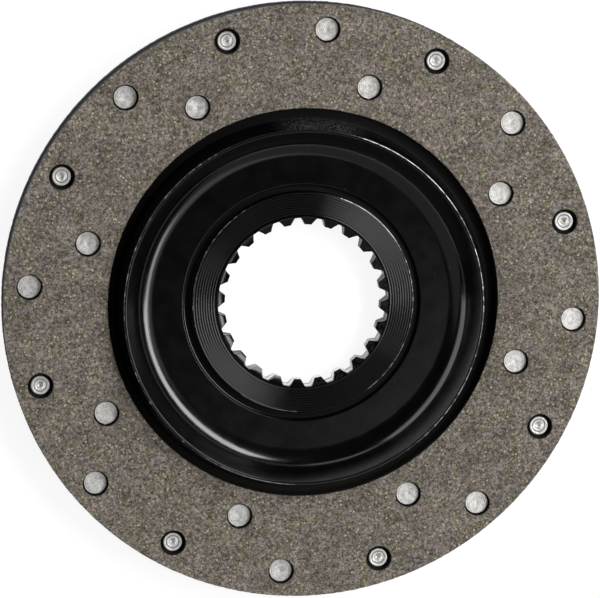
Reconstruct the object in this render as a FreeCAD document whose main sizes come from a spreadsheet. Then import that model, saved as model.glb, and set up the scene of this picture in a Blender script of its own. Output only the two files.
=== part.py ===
import FreeCAD, Part
import Sketcher

import os

# Riveted brake disc, in millimetres. A splined steel centre carries a friction lining on each face of
# its thin outer flange, and three rings of rivets clamp both linings to the flange. The disc lies flat:
# its axis is +Z, the rear lining's face is z = 0, and one rivet of the outer ring is on +X.

SIZES = [
    ("disc_diameter", 224, "over the friction linings"),
    ("lining_bore_diameter", 146.5, "opening in the middle of each lining"),
    ("lining_thickness", 4, "each lining"),
    ("flange_thickness", 3, "steel between the linings"),
    ("flange_setback", 0.4, "how far the flange's rim lies inside the linings' rim"),
    ("web_step", 0.3, "front of the web above the front of the flange"),
    ("boss_wall", 9.6, "steel of the boss outside the spline's roots"),
    ("boss_length", 6.8, "boss along the axis, centred on the flange"),
    ("boss_edge_chamfer", 0.3, "outer edges of the boss"),
    ("relief_width", 3.1, "turned relief round the front of the boss"),
    ("relief_depth", 1.4, "relief below the web"),
    ("rib_clearance", 3.7, "flange left bare between the rib's foot and the lining"),
    ("rib_crest_width", 0.9, "narrow flat on top of the rib"),
    ("rib_height", 6.5, "crest above the front lining's face"),
    ("rib_outer_draft", 13, "degrees, outer wall from upright"),
    ("rib_inner_slope", 58, "degrees, inner wall up from the web"),
    ("rib_inner_radius", 7.9, "fillet from the web into the rib's inner wall"),
    ("rib_foot_chamfer", 0.6, "from the rib's outer wall into the flange"),
    ("rib_crest_chamfer", 0.3, "broken edges of the crest"),
    ("turning_pitch", 0.94, "from one turned groove in the front of the boss to the next"),
    ("turning_depth", 0.25, "groove below the surface"),
    ("turning_margin", 0.5, "plain land inside and outside the turned grooves"),
    ("spline_teeth", 24, "internal involute teeth"),
    ("spline_module", 2.54, "pitch diameter for each tooth, 10/20 diametral pitch"),
    ("spline_pressure_angle", 30, "degrees"),
    ("spline_tip_reach", 1.18, "tooth tips inside the pitch circle"),
    ("spline_root_reach", 1.52, "roots outside the pitch circle"),
    ("spline_space_width", 4.1, "tooth space along the pitch circle"),
    ("spline_angle", 8.5, "degrees from +X to the first tooth space"),
    ("lead_in_width", 2.2, "lead-in cone from its mouth to the tooth tips"),
    ("lead_in_depth", 1.5, "lead-in cone along the axis"),
    ("ring_count", 8, "rivets in each ring"),
    ("outer_ring_inset", 9.5, "disc's rim to the rivet centres of both outer rings"),
    ("inner_ring_inset", 10.75, "lining's bore to the rivet centres of the inner ring"),
    ("rear_rivet_angle", 21, "degrees from +X to the first rear-headed rivet"),
    ("inner_rivet_angle", -12, "degrees from +X to the first inner rivet"),
    ("shank_diameter", 5, "rivet shank, set to fill its hole"),
    ("head_diameter", 8.7, "rivet head"),
    ("head_thickness", 1, "rivet head"),
    ("head_clearance", 0.5, "round a head in its counterbore"),
    ("seat_thickness", 1.1, "lining left under a head or a tail"),
    ("tail_diameter", 7, "rolled tail of a rivet"),
    ("tail_lip_diameter", 6.2, "rolled tail, outer edge of its crown"),
    ("tail_mouth_diameter", 4.6, "hollow of the tail at its crown"),
    ("tail_bore_diameter", 3, "hollow of the tail at its bottom"),
    ("tail_bore_depth", 2.4, "hollow below the crown"),
    ("tail_height", 1, "rolled tail above its seat"),
]

# Heights that several pieces share, each worked out from the sheet
FLANGE_REAR = "Sizes.lining_thickness"
FLANGE_FRONT = "(Sizes.lining_thickness + Sizes.flange_thickness)"
MID_PLANE = "(Sizes.lining_thickness + Sizes.flange_thickness / 2)"
FRONT_FACE = "(2 * Sizes.lining_thickness + Sizes.flange_thickness)"
WEB_FRONT = f"({FLANGE_FRONT} + Sizes.web_step)"
RELIEF_FLOOR = f"({WEB_FRONT} - Sizes.relief_depth)"
RIB_TOP = f"({FRONT_FACE} + Sizes.rib_height)"
BOSS_REAR = f"({MID_PLANE} - Sizes.boss_length / 2)"
BOSS_FRONT = f"({MID_PLANE} + Sizes.boss_length / 2)"
REAR_SEAT = f"({FLANGE_REAR} - Sizes.seat_thickness)"
FRONT_SEAT = f"({FLANGE_FRONT} + Sizes.seat_thickness)"

# Radii that several pieces share, from the outside in and from the spline out
DISC_RADIUS = "(Sizes.disc_diameter / 2)"
FLANGE_RADIUS = f"({DISC_RADIUS} - Sizes.flange_setback)"
LINING_BORE_RADIUS = "(Sizes.lining_bore_diameter / 2)"
RIB_FOOT = f"({LINING_BORE_RADIUS} - Sizes.rib_clearance)"
CREST_OUTER = f"({RIB_FOOT} - ({RIB_TOP} - {FLANGE_FRONT}) * tan(Sizes.rib_outer_draft))"
CREST_INNER = f"({CREST_OUTER} - Sizes.rib_crest_width)"
WEB_CORNER = f"({CREST_INNER} - ({RIB_TOP} - {WEB_FRONT}) / tan(Sizes.rib_inner_slope))"
PITCH_RADIUS = "(Sizes.spline_teeth * Sizes.spline_module / 2)"
TIP_RADIUS = f"({PITCH_RADIUS} - Sizes.spline_tip_reach)"
ROOT_RADIUS = f"({PITCH_RADIUS} + Sizes.spline_root_reach)"
LEAD_IN_RADIUS = f"({TIP_RADIUS} + Sizes.lead_in_width)"
BOSS_RADIUS = f"({ROOT_RADIUS} + Sizes.boss_wall)"
RELIEF_RADIUS = f"({BOSS_RADIUS} + Sizes.relief_width)"
GROOVES_OUTER = f"({BOSS_RADIUS} - Sizes.turning_margin)"
GROOVES_INNER = f"({LEAD_IN_RADIUS} + Sizes.turning_margin)"
SHANK_RADIUS = "(Sizes.shank_diameter / 2)"
COUNTERBORE_RADIUS = "(Sizes.head_diameter / 2 + Sizes.head_clearance)"

# The rivets of one sector: ring radius and angle from +X
OUTER_RING_RADIUS = f"({DISC_RADIUS} - Sizes.outer_ring_inset)"
INNER_RING_RADIUS = f"({LINING_BORE_RADIUS} + Sizes.inner_ring_inset)"
OUTER_FRONT = (OUTER_RING_RADIUS, "0")
OUTER_REAR = (OUTER_RING_RADIUS, "Sizes.rear_rivet_angle")
INNER_FRONT = (INNER_RING_RADIUS, "Sizes.inner_rivet_angle")
SECTOR = [OUTER_FRONT, OUTER_REAR, INNER_FRONT]

# The involute of the tooth flanks
PRESSURE_ANGLE = "(Sizes.spline_pressure_angle * 1 deg)"
BASE_RADIUS = f"({PITCH_RADIUS} * cos({PRESSURE_ANGLE}))"
FLANK_MIDDLE_RADIUS = f"(({TIP_RADIUS} + {ROOT_RADIUS}) / 2)"

# How far a cut runs on through empty space before it meets the solid
OVERRUN = 1

# How near a vertex has to lie to the place where an edge is looked for
EDGE_TOLERANCE = 0.001

# The index that stands for a sketch's origin, and the positions on a piece of geometry
ORIGIN = -1
START, END, CENTRE = 1, 2, 3


def make_sheet(doc):
    """The spreadsheet of driving sizes, one row each: name, value, meaning."""
    sheet = doc.addObject("Spreadsheet::Sheet", "Sizes")
    for row, (name, value, meaning) in enumerate(SIZES, start=1):
        sheet.set(f"A{row}", name)
        sheet.set(f"B{row}", str(value))
        sheet.set(f"C{row}", meaning)
        sheet.setAlias(f"B{row}", name)
    doc.recompute()


def value_of(owner, expression):
    """The number that an expression over the sheet gives now."""
    result = owner.evalExpression(expression)
    return float(getattr(result, "Value", result))


def vector_of(owner, point):
    x, y = point
    return FreeCAD.Vector(value_of(owner, x), value_of(owner, y), 0)


def polar(radius, angle):
    """The pair of expressions of a point given by its radius and its angle from the X axis."""
    return f"{radius} * cos({angle})", f"{radius} * sin({angle})"


def new_body(doc, label):
    body = doc.addObject("PartDesign::Body", label)
    body.Label = label
    body.AllowCompound = True
    return body


def origin_feature(body, role):
    return next(item for item in body.Origin.OriginFeatures if item.Role == role)


def new_sketch(body, name, plane, **offsets):
    """A sketch on one of the body's own planes, moved by expressions for x, y or z."""
    sketch = body.newObject("Sketcher::SketchObject", name)
    sketch.AttachmentSupport = [(origin_feature(body, plane), "")]
    sketch.MapMode = "FlatFace"
    for direction, expression in offsets.items():
        sketch.setExpression(f"AttachmentOffset.Base.{direction}", expression)
    return sketch


def hold_point(sketch, geometry, position, point):
    """Hold a point of the geometry at a pair of expressions, measured from the sketch's origin."""
    for kind, expression in zip(("DistanceX", "DistanceY"), point):
        value = value_of(sketch, expression)
        constraint = Sketcher.Constraint(kind, ORIGIN, START, geometry, position, value)
        index = sketch.addConstraint(constraint)
        sketch.setExpression(f"Constraints[{index}]", expression)


def hold_radius(sketch, geometry, radius):
    index = sketch.addConstraint(Sketcher.Constraint("Radius", geometry, value_of(sketch, radius)))
    sketch.setExpression(f"Constraints[{index}]", radius)


def draw_line(sketch, start, end):
    return sketch.addGeometry(Part.LineSegment(start, end), False)


def draw_outline(sketch, points):
    """A closed outline of straight lines through points that are pairs of expressions."""
    places = [vector_of(sketch, point) for point in points]
    lines = [draw_line(sketch, start, end) for start, end in zip(places, places[1:] + places[:1])]
    for line, following in zip(lines, lines[1:] + lines[:1]):
        sketch.addConstraint(Sketcher.Constraint("Coincident", line, END, following, START))
    for line, point in zip(lines, points):
        hold_point(sketch, line, START, point)


def draw_circle(sketch, centre, radius):
    shape = Part.Circle(vector_of(sketch, centre), FreeCAD.Vector(0, 0, 1), value_of(sketch, radius))
    circle = sketch.addGeometry(shape, False)
    hold_point(sketch, circle, CENTRE, centre)
    hold_radius(sketch, circle, radius)


def draw_arc(sketch, first, middle, last):
    """An arc through three points, with the positions of its first and last point."""
    arc = sketch.addGeometry(Part.Arc(first, middle, last), False)
    runs_forward = sketch.getPoint(arc, START).distanceToPoint(first) < EDGE_TOLERANCE
    return (arc, START, END) if runs_forward else (arc, END, START)


def revolve(body, name, sketch):
    """The sketch turned once about its own upright axis."""
    feature = body.newObject("PartDesign::Revolution", name)
    feature.Profile = sketch
    feature.ReferenceAxis = (sketch, ["V_Axis"])
    feature.Angle = 360
    return feature


def cut_through(body, name, sketch, upward):
    """A pocket through everything on one side of its sketch."""
    pocket = body.newObject("PartDesign::Pocket", name)
    pocket.Profile = sketch
    pocket.Type = "ThroughAll"
    pocket.Reversed = upward
    return pocket


def repeat_round(body, name, feature, count):
    """The feature repeated about the disc's axis."""
    pattern = body.newObject("PartDesign::PolarPattern", name)
    pattern.Originals = [feature]
    pattern.Axis = (origin_feature(body, "Z_Axis"), [""])
    pattern.Angle = 360
    pattern.setExpression("Occurrences", count)
    body.Tip = pattern
    return pattern


def ring_edges(body, places):
    """Names of the round edges of the body's newest shape at the given radii and heights."""
    shape = body.Tip.Shape
    wanted = [vector_of(body, place) for place in places]
    names = []
    for number, edge in enumerate(shape.Edges, start=1):
        if not isinstance(edge.Curve, Part.Circle):
            continue
        found = FreeCAD.Vector(edge.Curve.Radius, edge.Curve.Center.z, 0)
        if any(found.distanceToPoint(place) < EDGE_TOLERANCE for place in wanted):
            names.append(f"Edge{number}")
    return names


def dress_edges(doc, body, kind, name, prop, size, places):
    """A fillet or a chamfer on round edges."""
    doc.recompute()
    base = body.Tip
    names = ring_edges(body, places)
    feature = body.newObject(kind, name)
    feature.Base = (base, names)
    feature.setExpression(prop, size)
    return feature


def turned_grooves(sketch):
    """Points of the V grooves that fill the front of the boss, from the outermost inwards."""
    count = int(value_of(sketch, f"({GROOVES_OUTER} - {GROOVES_INNER}) / Sizes.turning_pitch"))
    points = [(GROOVES_OUTER, BOSS_FRONT)]
    for number in range(count):
        outer = f"{GROOVES_OUTER} - {number} * Sizes.turning_pitch"
        points.append((f"{outer} - Sizes.turning_pitch / 2", f"{BOSS_FRONT} - Sizes.turning_depth"))
        points.append((f"{outer} - Sizes.turning_pitch", BOSS_FRONT))
    return points


def draw_centre_section(sketch):
    """Half of the centre's section with sharp corners, from the bore round by the rear to the front."""
    draw_outline(sketch, [
        (TIP_RADIUS, f"{BOSS_REAR} + Sizes.lead_in_depth"),
        (LEAD_IN_RADIUS, BOSS_REAR),
        (BOSS_RADIUS, BOSS_REAR),
        (BOSS_RADIUS, FLANGE_REAR),
        (FLANGE_RADIUS, FLANGE_REAR),
        (FLANGE_RADIUS, FLANGE_FRONT),
        (RIB_FOOT, FLANGE_FRONT),
        (CREST_OUTER, RIB_TOP),
        (CREST_INNER, RIB_TOP),
        (WEB_CORNER, WEB_FRONT),
        (RELIEF_RADIUS, WEB_FRONT),
        (RELIEF_RADIUS, RELIEF_FLOOR),
        (BOSS_RADIUS, RELIEF_FLOOR),
        (BOSS_RADIUS, BOSS_FRONT),
        *turned_grooves(sketch),
        (LEAD_IN_RADIUS, BOSS_FRONT),
        (TIP_RADIUS, f"{BOSS_FRONT} - Sizes.lead_in_depth"),
    ])


def involute(angle):
    return f"(tan({angle}) - {angle} / 1 rad)"


def flank_point(radius, side):
    """A point of a tooth space's flank, on the left (1) or the right (-1) of the space's middle."""
    pressure = f"acos({BASE_RADIUS} / {radius})"
    at_pitch = f"Sizes.spline_space_width / 2 / {PITCH_RADIUS}"
    half_angle = f"(({at_pitch} + {involute(PRESSURE_ANGLE)} - {involute(pressure)}) * 1 rad)"
    return f"{radius} * cos({half_angle})", f"{side} * {radius} * sin({half_angle})"


def draw_flank(sketch, side):
    """One involute flank as an arc through its tip, its middle and its root."""
    tip, middle, root = (
        flank_point(radius, side) for radius in (TIP_RADIUS, FLANK_MIDDLE_RADIUS, ROOT_RADIUS)
    )
    middle_place = vector_of(sketch, middle)
    arc, at_tip, at_root = draw_arc(
        sketch, vector_of(sketch, tip), middle_place, vector_of(sketch, root)
    )
    hold_point(sketch, arc, at_tip, tip)
    hold_point(sketch, arc, at_root, root)
    marker = sketch.addGeometry(Part.Point(middle_place), True)
    hold_point(sketch, marker, START, middle)
    sketch.addConstraint(Sketcher.Constraint("PointOnObject", marker, START, arc))
    return arc, at_tip, at_root


def draw_tooth_space(sketch):
    """One space of the spline about the X axis, opened inwards past the tooth tips."""
    left, left_tip, left_root = draw_flank(sketch, 1)
    right, right_tip, right_root = draw_flank(sketch, -1)
    bottom = FreeCAD.Vector(value_of(sketch, ROOT_RADIUS), 0, 0)
    left_end = sketch.getPoint(left, left_root)
    right_end = sketch.getPoint(right, right_root)
    root, root_left, root_right = draw_arc(sketch, left_end, bottom, right_end)
    sketch.addConstraint(Sketcher.Constraint("Coincident", root, root_left, left, left_root))
    sketch.addConstraint(Sketcher.Constraint("Coincident", root, root_right, right, right_root))
    hold_radius(sketch, root, ROOT_RADIUS)

    inner_x = f"({TIP_RADIUS} - {OVERRUN})"
    inner_left = (inner_x, flank_point(TIP_RADIUS, 1)[1])
    inner_right = (inner_x, flank_point(TIP_RADIUS, -1)[1])
    inner_places = [vector_of(sketch, point) for point in (inner_left, inner_right)]
    left_side = draw_line(sketch, sketch.getPoint(left, left_tip), inner_places[0])
    mouth = draw_line(sketch, *inner_places)
    right_side = draw_line(sketch, inner_places[1], sketch.getPoint(right, right_tip))
    sketch.addConstraint(Sketcher.Constraint("Coincident", left_side, START, left, left_tip))
    sketch.addConstraint(Sketcher.Constraint("Coincident", left_side, END, mouth, START))
    sketch.addConstraint(Sketcher.Constraint("Coincident", mouth, END, right_side, START))
    sketch.addConstraint(Sketcher.Constraint("Coincident", right_side, END, right, right_tip))
    hold_point(sketch, mouth, START, inner_left)
    hold_point(sketch, mouth, END, inner_right)


def draw_rivet_holes(sketch, radius):
    """Round holes for the rivets of one sector."""
    for ring_radius, angle in SECTOR:
        draw_circle(sketch, polar(ring_radius, angle), radius)


def make_centre(doc):
    """The forged and turned steel centre: splined boss, web, rib and flange."""
    body = new_body(doc, "splined_centre")
    section = new_sketch(body, "centre_section", "XZ_Plane")
    draw_centre_section(section)
    revolve(body, "centre_turning", section)

    fillet = "PartDesign::Fillet"
    chamfer = "PartDesign::Chamfer"
    dress_edges(doc, body, fillet, "rib_inner_fillet", "Radius", "Sizes.rib_inner_radius",
                [(WEB_CORNER, WEB_FRONT)])
    dress_edges(doc, body, chamfer, "rib_foot", "Size", "Sizes.rib_foot_chamfer",
                [(RIB_FOOT, FLANGE_FRONT)])
    dress_edges(doc, body, chamfer, "rib_crest_edges", "Size", "Sizes.rib_crest_chamfer",
                [(CREST_OUTER, RIB_TOP), (CREST_INNER, RIB_TOP)])
    dress_edges(doc, body, chamfer, "boss_edges", "Size", "Sizes.boss_edge_chamfer",
                [(BOSS_RADIUS, BOSS_REAR), (BOSS_RADIUS, BOSS_FRONT)])

    space = new_sketch(body, "tooth_space", "XY_Plane")
    space.AttachmentOffset = FreeCAD.Placement(FreeCAD.Vector(), FreeCAD.Vector(0, 0, 1), 1)
    space.setExpression("AttachmentOffset.Rotation.Angle", "Sizes.spline_angle * 1 deg")
    draw_tooth_space(space)
    spline_cut = cut_through(body, "spline_cut", space, upward=True)
    repeat_round(body, "spline", spline_cut, "Sizes.spline_teeth")

    holes = new_sketch(body, "flange_hole_centres", "XY_Plane")
    draw_rivet_holes(holes, SHANK_RADIUS)
    hole_cut = cut_through(body, "flange_hole_cut", holes, upward=True)
    repeat_round(body, "flange_holes", hole_cut, "Sizes.ring_count")
    return body


def make_lining(doc, label, bottom, seat, opens_upward):
    """A friction lining: a flat ring whose rivet holes are counterbored from the friction face."""
    body = new_body(doc, label)
    ring = new_sketch(body, f"{label}_ring", "XY_Plane", z=bottom)
    centre = ("0", "0")
    draw_circle(ring, centre, DISC_RADIUS)
    draw_circle(ring, centre, LINING_BORE_RADIUS)
    pad = body.newObject("PartDesign::Pad", f"{label}_pad")
    pad.Profile = ring
    pad.setExpression("Length", "Sizes.lining_thickness")

    holes = new_sketch(body, f"{label}_hole_centres", "XY_Plane", z=bottom)
    draw_rivet_holes(holes, SHANK_RADIUS)
    hole_cut = cut_through(body, f"{label}_hole_cut", holes, upward=True)
    repeat_round(body, f"{label}_holes", hole_cut, "Sizes.ring_count")

    seats = new_sketch(body, f"{label}_counterbore_centres", "XY_Plane", z=seat)
    draw_rivet_holes(seats, COUNTERBORE_RADIUS)
    seat_cut = cut_through(body, f"{label}_counterbore_cut", seats, upward=opens_upward)
    repeat_round(body, f"{label}_counterbores", seat_cut, "Sizes.ring_count")
    return body


def draw_rivet_section(sketch, head_side):
    """Half of a rivet's section, with its head towards the front (1) or the rear (-1)."""
    head_seat = FRONT_SEAT if head_side > 0 else REAR_SEAT
    tail_seat = REAR_SEAT if head_side > 0 else FRONT_SEAT
    crown = f"({tail_seat} - {head_side} * Sizes.tail_height)"
    hollow = f"({crown} + {head_side} * Sizes.tail_bore_depth)"
    head_top = f"({head_seat} + {head_side} * Sizes.head_thickness)"
    draw_outline(sketch, [
        ("0", head_top),
        ("Sizes.head_diameter / 2", head_top),
        ("Sizes.head_diameter / 2", head_seat),
        (SHANK_RADIUS, head_seat),
        (SHANK_RADIUS, tail_seat),
        ("Sizes.tail_diameter / 2", tail_seat),
        ("Sizes.tail_lip_diameter / 2", crown),
        ("Sizes.tail_mouth_diameter / 2", crown),
        ("Sizes.tail_bore_diameter / 2", hollow),
        ("0", hollow),
    ])


def make_rivet_ring(doc, label, place, head_side):
    """One ring of equal rivets, each a separate solid."""
    ring_radius, first_angle = place
    body = new_body(doc, label)
    section = new_sketch(body, f"{label}_section", "XZ_Plane", x=ring_radius)
    draw_rivet_section(section, head_side)
    rivet = revolve(body, f"{label}_rivet", section)
    repeat_round(body, f"{label}_ring", rivet, "Sizes.ring_count")
    body.Placement = FreeCAD.Placement(FreeCAD.Vector(), FreeCAD.Vector(0, 0, 1), 1)
    body.setExpression("Placement.Rotation.Angle", f"{first_angle} * 1 deg")
    return body


def check(doc, bodies):
    """Stop if any object failed, any cut removed nothing or any sub-part isn't a sound solid."""
    failed = [item.Label for item in doc.Objects if {"Invalid", "Error"} & set(item.State)]
    if failed:
        raise RuntimeError(f"these objects failed: {failed}")
    for item in doc.Objects:
        is_cut = item.TypeId == "PartDesign::Pocket"
        if is_cut and item.Shape.Volume >= item.BaseFeature.Shape.Volume:
            raise RuntimeError(f"{item.Label} cuts nothing")
    for body in bodies:
        if body.Shape.isNull() or not body.Shape.isValid() or not body.Shape.Solids:
            raise RuntimeError(f"{body.Label} has no sound solid")


def main():
    doc = FreeCAD.newDocument("brake_disc")
    make_sheet(doc)
    bodies = [
        make_centre(doc),
        make_lining(doc, "rear_lining", "0", REAR_SEAT, opens_upward=False),
        make_lining(doc, "front_lining", FLANGE_FRONT, FRONT_SEAT, opens_upward=True),
        make_rivet_ring(doc, "outer_front_rivets", OUTER_FRONT, 1),
        make_rivet_ring(doc, "outer_rear_rivets", OUTER_REAR, -1),
        make_rivet_ring(doc, "inner_front_rivets", INNER_FRONT, 1),
    ]
    doc.recompute()
    check(doc, bodies)
    os.makedirs("parts", exist_ok=True)
    for body in bodies:
        body.Shape.exportStep(f"parts/{body.Label}.step")
        print(body.Label, len(body.Shape.Solids), "solids", round(body.Shape.Volume, 1), "mm3")


main()
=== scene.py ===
import math

import bmesh
import bpy
from mathutils import Matrix, Vector, noise
from mathutils.geometry import delaunay_2d_cdt


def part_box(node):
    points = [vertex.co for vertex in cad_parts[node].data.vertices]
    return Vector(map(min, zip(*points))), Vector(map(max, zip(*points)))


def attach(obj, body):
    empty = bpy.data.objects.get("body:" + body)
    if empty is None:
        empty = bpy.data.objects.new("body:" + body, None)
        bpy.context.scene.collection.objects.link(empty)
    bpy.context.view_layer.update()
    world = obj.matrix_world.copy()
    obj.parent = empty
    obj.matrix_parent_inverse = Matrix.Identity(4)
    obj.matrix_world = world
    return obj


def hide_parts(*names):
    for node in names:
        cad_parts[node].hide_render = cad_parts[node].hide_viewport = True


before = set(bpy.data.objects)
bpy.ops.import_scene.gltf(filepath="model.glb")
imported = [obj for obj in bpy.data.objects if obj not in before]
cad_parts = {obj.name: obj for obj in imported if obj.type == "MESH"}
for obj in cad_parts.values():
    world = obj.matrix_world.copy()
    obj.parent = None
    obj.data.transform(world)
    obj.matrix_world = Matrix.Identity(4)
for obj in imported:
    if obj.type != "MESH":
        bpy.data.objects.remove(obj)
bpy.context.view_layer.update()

# A riveted brake disc lying on its rear lining, its axis +Z. Meshes are written in millimetres and
# scaled by MM, and the angles of the photograph are counted anticlockwise from its right-hand side.
MM = 0.001
FULL_TURN = 2 * math.pi

# The photograph turns the disc by this much about its axis
PHOTO_TURN = math.radians(-5.5)


def box_mm(node):
    low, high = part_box(node)
    return low / MM, high / MM


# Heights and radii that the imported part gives
front_low, front_high = box_mm("front_lining")
rear_low, rear_high = box_mm("rear_lining")
centre_low, centre_high = box_mm("splined_centre")
DISC_RADIUS = front_high.x
REAR_FACE = rear_low.z
FLANGE_REAR = rear_high.z
FLANGE_FRONT = front_low.z
FRONT_FACE = front_high.z
MID_PLANE = (FLANGE_REAR + FLANGE_FRONT) / 2
RIB_TOP = centre_high.z
BOSS_REAR = centre_low.z
BOSS_FRONT = 2 * MID_PLANE - BOSS_REAR
FLANGE_RADIUS = centre_high.x

# The centre's section, from the spline outwards
TIP_RADIUS = 29.3
ROOT_RADIUS = 32.0
PITCH_RADIUS = 30.48
LEAD_IN_RADIUS = 31.5
LEAD_IN_DEPTH = 1.5
BOSS_RADIUS = 41.6
RELIEF_RADIUS = 44.7
RELIEF_DEPTH = 1.4
WEB_FRONT = FLANGE_FRONT + 0.3
LINING_BORE_RADIUS = 73.25
RIB_FOOT = LINING_BORE_RADIUS - 3.7
RIB_OUTER_DRAFT = math.radians(13)
RIB_INNER_SLOPE = math.radians(58)
CREST_OUTER = RIB_FOOT - (RIB_TOP - FLANGE_FRONT) * math.tan(RIB_OUTER_DRAFT)
CREST_INNER = CREST_OUTER - 0.9
WEB_CORNER = CREST_INNER - (RIB_TOP - WEB_FRONT) / math.tan(RIB_INNER_SLOPE)
RIB_FILLET = 7.9
CREST_ROUND = 0.35
CREST_INNER_ROUND = 0.4
FOOT_FILLET = 0.8
WEB_EDGE_ROUND = 0.2
RELIEF_FILLET = 0.9
BOSS_EDGE_ROUND = 0.3
BOSS_FOOT_FILLET = 0.4
LINING_OVERLAP = 0.4

# Turned grooves of the boss's front. Each has a land, then a slope that faces outwards and one that
# faces inwards, as shares of the pitch and of the depth.
GROOVE_PITCH = 0.94
GROOVE_DEPTH = 0.17
GROOVE_MARGIN = 0.5
GROOVE_SHAPE = ((0.0, 0.0), (0.44, 0.0), (0.72, 1.0))

# The spline
TEETH = 24
SPLINE_ANGLE = math.radians(8.5)
PRESSURE_ANGLE = math.radians(30)
SPACE_WIDTH = 4.1

# Rivets: ring radius, first angle, which face the heads are on
RIVETS_A_RING = 8
OUTER_RING = DISC_RADIUS - 9.5
INNER_RING = LINING_BORE_RADIUS + 10.75
RINGS = {
    "outer_front_rivets": (OUTER_RING, 0.0, 1),
    "outer_rear_rivets": (OUTER_RING, math.radians(21), -1),
    "inner_front_rivets": (INNER_RING, math.radians(-12), 1),
}
SHANK_RADIUS = 2.5
HEAD_RADIUS = 4.35
HEAD_THICKNESS = 1.0
COUNTERBORE_RADIUS = 4.85
SEAT_THICKNESS = 1.1
TAIL_RADIUS = 3.5
TAIL_HEIGHT = 1.0
HEAD_DISH = 0.06


def turned(vector):
    """A direction or place in the photograph's upright frame, given in the disc's own frame."""
    return Matrix.Rotation(-PHOTO_TURN, 3, "Z") @ Vector(vector)


def in_photo(angle):
    """An angle about the disc's own frame, counted from the photograph's right-hand side."""
    return angle + PHOTO_TURN


def smooth_step(low, high, value):
    share = min(max((value - low) / (high - low), 0.0), 1.0)
    return share * share * (3 - 2 * share)


def turn_apart(first, second):
    """The smaller angle between two directions."""
    return abs((first - second + math.pi) % FULL_TURN - math.pi)


# Camera
CAMERA_LENS = 245.8
CAMERA_SENSOR = 36.0
CAMERA_AIM = Vector((-1.285, 1.470, 9.1)) * MM
CAMERA_DISTANCE = 1524.5 * MM
CAMERA_AZIMUTH = math.radians(127.44)
CAMERA_TILT = math.radians(13.19)
CAMERA_ROLL = math.radians(-0.626)


def add_camera():
    data = bpy.data.cameras.new("camera")
    data.lens = CAMERA_LENS
    data.sensor_width = CAMERA_SENSOR
    data.clip_start = 0.05
    data.clip_end = 20.0
    camera = bpy.data.objects.new("camera", data)
    bpy.context.scene.collection.objects.link(camera)
    back = Vector((
        math.sin(CAMERA_TILT) * math.cos(CAMERA_AZIMUTH),
        math.sin(CAMERA_TILT) * math.sin(CAMERA_AZIMUTH),
        math.cos(CAMERA_TILT),
    ))
    up = Vector((0, 1, 0))
    up = (up - back * up.dot(back)).normalized()
    up = Matrix.Rotation(CAMERA_ROLL, 3, back) @ up
    right = up.cross(back)
    axes = Matrix((right, up, back)).transposed()
    turn = Matrix.Rotation(-PHOTO_TURN, 4, "Z")
    place = Matrix.Translation(CAMERA_AIM + back * CAMERA_DISTANCE)
    camera.matrix_world = turn @ place @ axes.to_4x4()
    bpy.context.scene.camera = camera


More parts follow.
